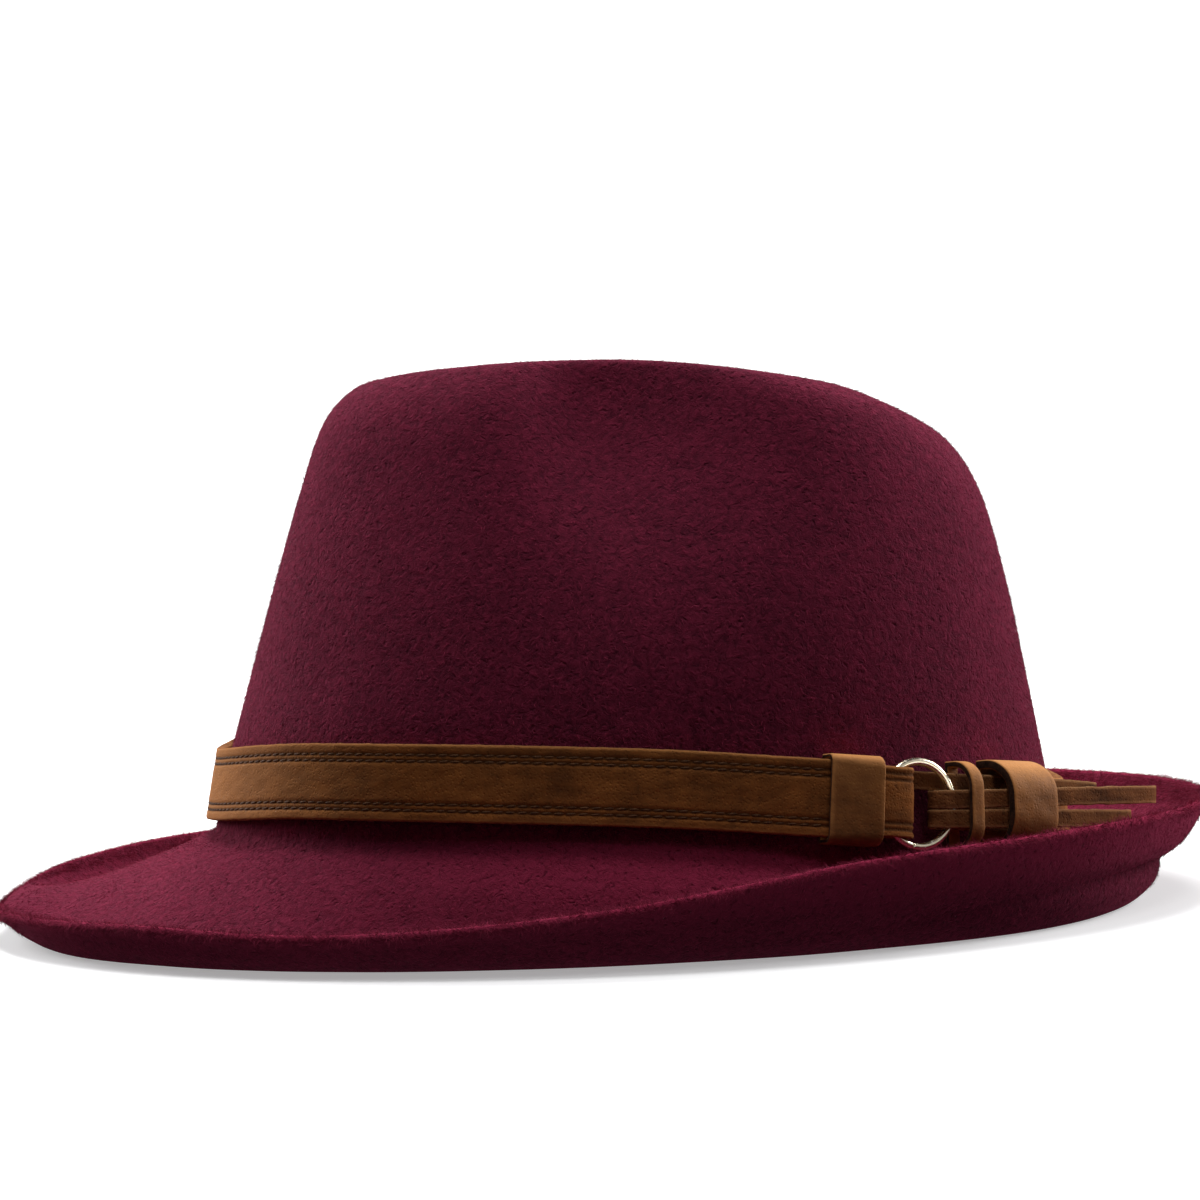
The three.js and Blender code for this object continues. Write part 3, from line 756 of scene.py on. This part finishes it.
def buildBelt():
    half = strap["width"] / 2
    grooves = [(side * (half - inset), belt["grooveDepth"], belt["grooveSize"])
               for inset in belt["stitchRows"] for side in (-1, 1)]
    far = [(along - once, under, leather, width) for along, under, leather, width in belt["farRoute"]]
    stations = (beltStations(belt["foldRoute"], belt["step"])
                + bendStations(belt["foldBend"], 1, 0, *fold)
                + beltStations(belt["overRoute"] + far, belt["step"]))
    # painted light towards the hat's front
    for at in stations:
        forward = (-at["centre"][0] - belt["lightFrom"]) / belt["lightOver"]
        at["rubbedAndLit"] = belt["frontLight"] * min(max(forward, 0), 1)
    return sweepStrap("belt_strap", smoothed(stations, 2), looks["belt"], corner=0.5, faceSteps=44,
                      grooves=grooves, wobble=0.07, seed=2.0, side=-1)


tailSteps = 26
tailBend = {"along": 6.4, "height": 3.9, "radius": 2.15}
tailUnder = {"slit": 1.5, "bend": 0.9, "level": 13, "bendLead": 1.6}     # lower face, and where it dips
straightStart = {"from": -2, "to": 11, "height": 1.5}
tails = table(
    ("name", "across", "length", "turn", "rise"),
    [
        ("upper_tail", 5.5, 52, 120, 0.03),
        ("middle_tail", 1.2, 74, 190, 0.08),
        ("lower_tail", -3.1, 62, 190, 0.06),
    ])


def freeRun(tail, start, height):
    stations = []
    for length in np.linspace(0, tail["length"], tailSteps + 1):
        along = start + tail["turn"] * math.sin(length / tail["turn"])
        inward = tail["turn"] * (1 - math.cos(length / tail["turn"]))
        across = tail["across"] + tail["rise"] * length
        stations.append(stationAt(ringFrame, along, across, height - inward, *tailSize))
    return stations


def buildTail(tail, seed):
    across = tail["across"]
    if tail["name"] == "upper_tail":
        height = straightStart["height"]
        stations = [stationAt(ringFrame, straightStart["from"], across, height, *tailSize)]
        stations += freeRun(tail, straightStart["to"], height)
    else:
        lower = [(slit - strap["gap"], tailUnder["slit"], *tailSize),
                 (tailUnder["level"], tailUnder["slit"], *tailSize),
                 (tailBend["along"] + tailUnder["bendLead"], tailUnder["bend"], *tailSize)]
        over = freeRun(tail, tailBend["along"], tailBend["height"] + tailBend["radius"])
        stations = (beltStations(lower, belt["step"], across)
                    + bendStations(tailBend, -1, across, *tailSize) + over[1:])
    return sweepStrap(tail["name"] + "_strip", stations, looks["tail"], corner=0.28, faceSteps=6,
                      wobble=0.1, seed=seed)


beltPiece = buildBelt()
tailPieces = [buildTail(tail, 5.0 + 2 * i) for i, tail in enumerate(tails)]
print("belt and tails made:", len(beltPiece.data.polygons), "faces")


# leather loops round the belt

keepers = table(
    ("name", "start", "end", "roomStart", "roomEnd", "cornerStart", "cornerEnd", "leather"),
    [("wide_keeper", -22.4, -11.2, 5.3, 7.9, 1, 2.1, 1), ("narrow_loop", 11, 14.2, 7.7, 7.9, 4.8, 4.8, 1.4),
     ("tail_keeper", 21.5, 33.5, 9.1, 11.4, 6.4, 6.2, 2.1)])
keeperShape = {"back": 1.2, "foot": 0.3, "round": 0.3, "step": 0.8,
               "cornerSteps": 12, "sideSteps": 8, "faceSteps": 20}


# points clockwise as seen from behind the belt, evenly matched between the inner and outer outline
def loopOutline(bottom, top, low, high, lowRadius, highRadius):
    shape = ((bottom + highRadius, high - highRadius, highRadius, math.pi),
             (top - highRadius, high - highRadius, highRadius, math.pi / 2),
             (top - lowRadius, low + lowRadius, lowRadius, 0),
             (bottom + lowRadius, low + lowRadius, lowRadius, -math.pi / 2))
    steps = keeperShape["cornerSteps"]
    outline, corners = [], []
    for cx, cy, radius, start in shape:
        turns = [start - math.pi / 2 * k / steps for k in range(steps + 1)]
        corners.append([(cx + radius * math.cos(t), cy + radius * math.sin(t)) for t in turns])
    between = (keeperShape["faceSteps"], keeperShape["sideSteps"]) * 2
    for k, corner in enumerate(corners):
        outline += corner
        start, end = np.array(corner[-1]), np.array(corners[(k + 1) % 4][0])
        outline += [tuple(start + (end - start) * s / between[k]) for s in range(1, between[k])]
    return np.array(outline)


def buildKeeper(row, seed):
    skin, half, back = row["leather"], strap["width"] / 2 + strap["gap"], keeperShape["back"]
    length = row["end"] - row["start"]
    # the wall's own section: s runs along the belt, t from the inner face to the outer one
    edge, wall = keeperShape["round"], []
    for quarter, (s, t) in enumerate(((1, 1), (0, 1), (0, 0), (1, 0))):
        for k in range(4):
            turn = (quarter + k / 3) * math.pi / 2
            wall.append((s * length + (-edge if s else edge) + edge * math.cos(turn),
                         t * skin + (-edge if t else edge) + edge * math.sin(turn)))
        if s == t:
            steps = max(int(length / keeperShape["step"]), 2)
            ends = (length - edge, edge) if t else (edge, length - edge)
            face = wall[-1][1]
            wall += [(x, face) for x in np.linspace(*ends, steps + 1)[1:-1]]
    rows, cut, uvs, wornAndLit, paintedShade = [], [], [], [], []
    for s, t in wall:
        at = beltFrame(row["start"] + s)
        room = mixed(row["roomStart"], row["roomEnd"], s / length)
        corner = mixed(row["cornerStart"], row["cornerEnd"], s / length)
        outside = loopOutline(-half - back, half + skin, 0, room + skin, keeperShape["foot"], corner + skin)
        inside = loopOutline(-half, half, back, room, keeperShape["foot"], corner)
        outline = inside + (outside - inside) * (t / skin)
        around = 0.0
        for k, (across, height) in enumerate(outline):
            lift = 0.1 * ripple(s * 0.4, across * 0.5 + height * 0.3, seed) * (t / skin)
            rows.append(placed(at, 0, across, height + lift))
            isCut = min(s, length - s) < 0.14 and edge * 0.7 < t < skin - edge * 0.7
            cut.append(1.0 if isCut else 0.0)
            # wear near the ends; painted light on the top corner and the upper side; painted shade on the
            # lower side
            nearEnd = 0.5 * (min(s, length - s) < 0.7)
            onTop = min(max((across - half + corner + 0.2) / (corner + 0.5), 0), 1) ** 2
            upward = 0.3 * max(across / half, 0)
            wornAndLit.append(max(nearEnd, onTop, upward) if t > skin * 0.8 else 0.0)
            paintedShade.append(0.6 * min(max(-across / half + 0.2, 0), 1) if t > skin * 0.8 else 0.0)
            around += math.dist(outline[k - 1], outline[k]) if k else 0
            uvs.append((s * mm, around * mm))
    faces = skinFaces(len(wall), len(outline), rowsClose=True)
    piece = meshFrom(row["name"] + "_loop", rows, faces, looks["keeper"])
    addPattern(piece, {"cut": cut, "wornAndLit": wornAndLit, "seamAndShade": paintedShade}, uvs)
    return piece


keeperPieces = [buildKeeper(row, 11.0 + i) for i, row in enumerate(keepers)]
print("loops made:", len(keeperPieces))


# ring of round wire, with a fine butt joint at its foot

ringShape = {"radius": 9.5, "wire": 0.9, "height": 4.1, "steps": 160, "sides": 18,
             "jointAt": -1.75, "jointGap": 0.012, "jointRound": 0.2}


def buildRing():
    points, radius, wire = [], ringShape["radius"], ringShape["wire"]
    start = ringShape["jointAt"] + ringShape["jointGap"] / 2
    whole, steps = 2 * math.pi - ringShape["jointGap"], ringShape["steps"]
    turns = [start + whole * k / steps for k in range(steps + 1)]
    for k, turn in enumerate(turns):
        thick = wire * (1 - ringShape["jointRound"] * (k in (0, steps)))
        for i in range(ringShape["sides"]):
            around = 2 * math.pi * i / ringShape["sides"]
            reach = radius + thick * math.cos(around)
            points.append(placed(ringFrame, reach * math.cos(turn), reach * math.sin(turn),
                                 ringShape["height"] + thick * math.sin(around)))
    faces = skinFaces(len(turns), ringShape["sides"])
    last = len(points) - ringShape["sides"]
    faces.append(tuple(range(ringShape["sides"])))
    faces.append(tuple(range(len(points) - 1, last - 1, -1)))
    return meshFrom("wire_ring", points, faces, looks["ring"])


ringPiece = buildRing()


def turnOutwards(piece):
    work = bmesh.new()
    work.from_mesh(piece.data)
    bmesh.ops.recalc_face_normals(work, faces=work.faces)
    work.to_mesh(piece.data)
    work.free()


for piece in [feltPiece, beltPiece, ringPiece] + tailPieces + keeperPieces:
    turnOutwards(piece)


# Geometry Nodes

def newTree(name, inputs):
    tree = bpy.data.node_groups.new(name, "GeometryNodeTree")
    tree.interface.new_socket("Geometry", in_out="INPUT", socket_type="NodeSocketGeometry")
    tree.interface.new_socket("Geometry", in_out="OUTPUT", socket_type="NodeSocketGeometry")
    for label, kind in inputs:
        tree.interface.new_socket(label, in_out="INPUT", socket_type="NodeSocket" + kind)
    wire = Wire(tree)
    given = wire.add("NodeGroupInput")
    return tree, wire, given


def endTree(wire, geometry, look):
    whole = wire.add("GeometryNodeRealizeInstances", {}, {"Geometry": geometry})
    painted = wire.add("GeometryNodeSetMaterial", {}, {"Geometry": whole, "Material": look})
    wire.add("NodeGroupOutput", {}, {0: painted})


def randomIn(wire, low, high, seed):
    return wire.add("FunctionNodeRandomValue", {"data_type": "FLOAT"}, {2: low, 3: high, "Seed": seed}, 1)


# a rotation turned further, about its own X (0), Y (1) or Z (2)
def turned(wire, rotation, angles):
    turn = wire.add("FunctionNodeEulerToRotation", {}, {0: wire.add("ShaderNodeCombineXYZ", {}, angles)})
    return wire.add("FunctionNodeRotateRotation", {"rotation_space": "LOCAL"}, {0: rotation, 1: turn})


# runs a tree on a piece and returns its result as a plain mesh object
def grown(name, source, tree, values):
    modifier = source.modifiers.new(name, "NODES")
    modifier.node_group = tree
    for item in tree.interface.items_tree:
        if item.in_out == "INPUT" and item.name in values:
            modifier[item.identifier] = values[item.name]
    evaluated = source.evaluated_get(bpy.context.evaluated_depsgraph_get())
    mesh = bpy.data.meshes.new_from_object(evaluated)
    source.modifiers.remove(modifier)
    mesh.name = name
    return newPiece(name, mesh)


# stitches: thread segments laid end to end on rails that lie in the belt's grooves
def stitchTree():
    tree, wire, given = newTree("beltStitches", [
        ("Pitch", "Float"), ("Share", "Float"), ("Thickness", "Float"), ("Slant", "Float"),
        ("Seed", "Int"), ("Thread", "Material")])
    line = wire.add("GeometryNodeMeshToCurve", {}, {"Mesh": given.out("Geometry")})
    spaced = wire.add("GeometryNodeResampleCurve", {"mode": "LENGTH"},
                      {"Curve": line, "Length": given.out("Pitch")})
    bead = wire.add("GeometryNodeMeshUVSphere", {}, {"Segments": 8, "Rings": 6, "Radius": 1.0})
    half = given.out("Pitch") * given.out("Share") * 0.5
    thick = given.out("Thickness")
    size = wire.add("ShaderNodeCombineXYZ", {}, {0: half, 1: thick, 2: thick})
    segment = wire.add("GeometryNodeTransform", {}, {"Geometry": bead, "Scale": size})
    soft = wire.add("GeometryNodeSetShadeSmooth", {}, {"Geometry": segment})
    tangent = wire.add("GeometryNodeInputTangent")
    upward = wire.add("GeometryNodeInputNamedAttribute", {"data_type": "FLOAT_VECTOR"}, {"Name": "outward"})
    along = wire.add("FunctionNodeAlignRotationToVector", {"axis": "X"}, {"Vector": tangent})
    upright = wire.add("FunctionNodeAlignRotationToVector", {"axis": "Z", "pivot_axis": "X"},
                       {"Rotation": along, "Vector": upward})
    lean = randomIn(wire, given.out("Slant") * 0.4, given.out("Slant"), given.out("Seed"))
    laid = wire.add("GeometryNodeInstanceOnPoints", {},
                    {"Points": spaced, "Instance": soft, "Rotation": turned(wire, upright, {2: lean})})
    endTree(wire, laid, given.out("Thread"))
    return tree


stitches = {"Pitch": 2.7 * mm, "Share": 0.88, "Thickness": 0.28 * mm, "Slant": 0.14, "Seed": 3}
stitchRun = {"start": -24.6, "end": 37.5, "step": 1.5, "sink": 0.26}


def stitchRails():
    half = strap["width"] / 2
    route = belt["overRoute"] + [(a - once, u, t, w) for a, u, t, w in belt["farRoute"]]
    alongs = [row[0] for row in route][::-1]
    tops = [row[1] + row[2] for row in route][::-1]
    points, edges, outward = [], [], []
    for inset in belt["stitchRows"]:
        for side in (-1, 1):
            run = np.arange(stitchRun["start"], stitchRun["end"] - once, -stitchRun["step"])
            first = len(points)
            for along in run:
                at = beltFrame(along)
                height = np.interp(along, alongs, tops) - stitchRun["sink"]
                points.append(placed(at, 0, side * (half - inset), height))
                outward.append(at["outward"])
            edges += [(first + i, first + i + 1) for i in range(len(run) - 1)]
    mesh = bpy.data.meshes.new("stitchRails")
    mesh.from_pydata((np.array(points) * mm).tolist(), edges, [])
    data = mesh.attributes.new("outward", "FLOAT_VECTOR", "POINT").data
    data.foreach_set("vector", np.array(outward, np.float32).ravel())
    return newPiece("stitchRails", mesh)


rails = stitchRails()
stitchPiece = grown("belt_stitches", rails, stitchTree(), {**stitches, "Thread": looks["thread"]})
bpy.data.objects.remove(rails)
print("stitches sewn:", len(stitchPiece.data.polygons), "faces")


# nap: short wool fibres leaning over on the felt, a slender closed spike each
def napTree():
    tree, wire, given = newTree("woolNap", [
        ("Zone", "Int"), ("Density", "Float"), ("Length", "Float"), ("Thickness", "Float"),
        ("Least Lean", "Float"), ("Most Lean", "Float"), ("Above", "Float"), ("Seed", "Int"),
        ("Wool", "Material")])
    zone = wire.add("GeometryNodeInputNamedAttribute", {"data_type": "INT"}, {"Name": "zone"})
    here = wire.add("FunctionNodeCompare", {"data_type": "INT", "operation": "EQUAL"},
                    {2: zone, 3: given.out("Zone")})
    height = wire.add("ShaderNodeSeparateXYZ", {}, {0: wire.add("GeometryNodeInputPosition")}, 2)
    high = wire.add("FunctionNodeCompare", {"data_type": "FLOAT", "operation": "GREATER_THAN"},
                    {0: height, 1: given.out("Above")})
    both = wire.add("FunctionNodeBooleanMath", {"operation": "AND"}, {0: here, 1: high})
    points = wire.add("GeometryNodeDistributePointsOnFaces", {"distribute_method": "RANDOM"},
                      {"Mesh": given.out("Geometry"), "Selection": both, "Density": given.out("Density"),
                       "Seed": given.out("Seed")})
    tone = randomIn(wire, 0.0, 1.0, 11)
    toned = wire.add("GeometryNodeStoreNamedAttribute", {"data_type": "FLOAT", "domain": "POINT"},
                     {"Geometry": points, "Name": "tone", "Value": tone})
    spike = wire.add("GeometryNodeMeshCone", {"fill_type": "NGON"},
                     {"Vertices": 3, "Radius Top": 0.0, "Radius Bottom": given.out("Thickness"),
                      "Depth": given.out("Length")})
    flow = wire.noise(wire.add("GeometryNodeInputPosition"), 70.0, 2.0)
    heading = flow * 12.0 + randomIn(wire, -1.1, 1.1, 12)
    lean = randomIn(wire, given.out("Least Lean"), given.out("Most Lean"), 13)
    tipped = turned(wire, turned(wire, points.out("Rotation"), {2: heading}), {0: lean})
    size = randomIn(wire, 0.45, 1.15, 14)
    laid = wire.add("GeometryNodeInstanceOnPoints", {},
                    {"Points": toned, "Instance": spike, "Rotation": tipped, "Scale": size})
    endTree(wire, laid, given.out("Wool"))
    return tree


nap = {"Thickness": 0.055 * mm, "Most Lean": 1.5, "Above": 3.0 * mm}
napZones = table(
    ("name", "zone", "spikes", "length", "lean", "seed"),
    [("crown_nap", "crown", 48000, 1.5, 0.9, 21), ("brim_nap", "brim", 46000, 1.5, 0.9, 22),
     ("underside_nap", "underside", 40000, 1.5, 0.9, 23), ("edge_nap", "edge", 40000, 2.0, 0.5, 24)])


def zoneArea(zone):
    mesh = feltPiece.data
    zoneAt = [point.value for point in mesh.attributes["zone"].data]
    return sum(face.area for face in mesh.polygons if zoneAt[face.vertices[0]] == zone)


woolTree = napTree()
napPieces = []
for row in napZones:
    zone = zones[row["zone"]]
    values = {**nap, "Zone": zone, "Seed": row["seed"], "Wool": looks["nap"], "Length": row["length"] * mm,
              "Least Lean": row["lean"], "Density": row["spikes"] / zoneArea(zone)}
    napPieces.append(grown(row["name"], feltPiece, woolTree, values))
    print(row["name"], len(napPieces[-1].data.polygons), "faces")


# what stands for what

stands = [
    (feltPiece, "felt_body", "felt"),
    (beltPiece, "belt", "belt_leather"),
    (ringPiece, "ring", "ring_metal"),
]
stands += [(piece, row["name"], "belt_leather") for piece, row in zip(tailPieces, tails)]
stands += [(piece, row["name"], "keeper_leather") for piece, row in zip(keeperPieces, keepers)]
for piece, node, slot in stands:
    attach(piece, "root")
    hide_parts(node)
for piece in napPieces:
    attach(piece, "root")
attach(stitchPiece, "root")


# floor, lights and camera

studio = {
    "floorReach": 5.0, "floorSides": 72, "wallHeight": 5.0, "bend": 1.2, "bendSteps": 12,
    "floorTone": rgb(0.86, 0.86, 0.865), "floorGlow": 0.4,
    "world": rgb(0.9, 0.92, 1.0), "worldStrength": 0.047,
}


def buildFloor():
    # a round tray, so that its wall stands behind the hat from every side
    reach, bend, sides = studio["floorReach"], studio["bend"], studio["floorSides"]
    outline = [(reach - bend, 0.0)]
    for k in range(1, studio["bendSteps"] + 1):
        turn = math.pi / 2 * k / studio["bendSteps"]
        outline.append((reach - bend * (1 - math.sin(turn)), bend * (1 - math.cos(turn))))
    outline.append((reach, studio["wallHeight"]))
    turns = [math.tau * k / sides for k in range(sides)]
    points = [(out * math.cos(turn), out * math.sin(turn), z) for out, z in outline for turn in turns]
    faces = [list(range(sides))] + skinFaces(len(outline), sides)
    mesh = bpy.data.meshes.new("paleFloor")
    mesh.from_pydata(points, [], faces)
    mesh.shade_smooth()
    look, wire = newLook("palePaper")
    tone = studio["floorTone"]
    finishLook(wire, {"Base Color": tone, "Roughness": 0.9, "Specular IOR Level": 0.1,
                      "Emission Color": tone, "Emission Strength": studio["floorGlow"]}, {}, [])
    mesh.materials.append(look)
    floor = newPiece("paleFloor", mesh)
    # the paper throws no light of its own on the hat: tableGlow stands in for it, weaker
    floor.visible_diffuse = False
    floor.visible_shadow = False


hatMiddle = (0.0, 0.0, 0.07)
lamps = table(
    ("name", "place", "target", "size", "power"),
    [
        ("leftWindow", (-1.08, 0.72, 0.5), hatMiddle, (0.6, 0.6), 17),
        ("rightWindow", (1.14, 0.48, 0.5), hatMiddle, (0.6, 0.6), 15),
        ("backTop", (0.0, 0.8, 1.05), hatMiddle, (0.9, 0.5), 13),
        ("overhead", (0.0, 0.0, 1.4), hatMiddle, (0.5, 0.5), 10),
        ("topFill", (0.35, -0.6, 1.25), hatMiddle, (0.5, 0.5), 2.9),
        ("tableGlow", (0.0, -0.25, -0.5), (0.0, 0.0, 0.0), (0.9, 0.9), 0.6),    # what a table would throw up
        ("wallWash", (0.0, 2.2, 2.6), (0.0, 4.6, 1.2), (4.0, 1.2), 190),
    ])


def areaLight(row):
    lamp = bpy.data.lights.new(row["name"], "AREA")
    lamp.shape, lamp.size, lamp.size_y = "RECTANGLE", row["size"][0], row["size"][1]
    lamp.energy = row["power"]
    piece = newPiece(row["name"], lamp)
    piece.location = row["place"]
    toward = Vector(row["target"]) - Vector(row["place"])
    piece.rotation_euler = toward.to_track_quat("-Z", "Y").to_euler()


def buildStudio():
    buildFloor()
    world = bpy.data.worlds.new("softRoom")
    world.use_nodes = True
    world.node_tree.nodes["Background"].inputs["Color"].default_value = studio["world"]
    world.node_tree.nodes["Background"].inputs["Strength"].default_value = studio["worldStrength"]
    bpy.context.scene.world = world
    for row in lamps:
        areaLight(row)


# a long lens, a little above the brim, tipped a touch
view = {"distance": 800 * mm, "height": 100 * mm, "aimHeight": 74.5 * mm, "lens": 98.5, "sensor": 36.0,
        "roll": -2.3}


def buildCamera():
    data = bpy.data.cameras.new("sideView")
    data.lens, data.sensor_width = view["lens"], view["sensor"]
    data.clip_start, data.clip_end = 0.01, 50
    camera = newPiece("sideView", data)
    place = Vector((0, -view["distance"], view["height"]))
    aim = Vector((0, 0, view["aimHeight"])) - place
    turn = aim.to_track_quat("-Z", "Y").to_matrix().to_4x4()
    camera.matrix_world = (Matrix.Translation(place) @ turn
                           @ Matrix.Rotation(math.radians(view["roll"]), 4, "Z"))
    bpy.context.scene.camera = camera


buildStudio()
buildCamera()
bpy.context.scene.view_settings.view_transform = "Standard"
print("studio ready")
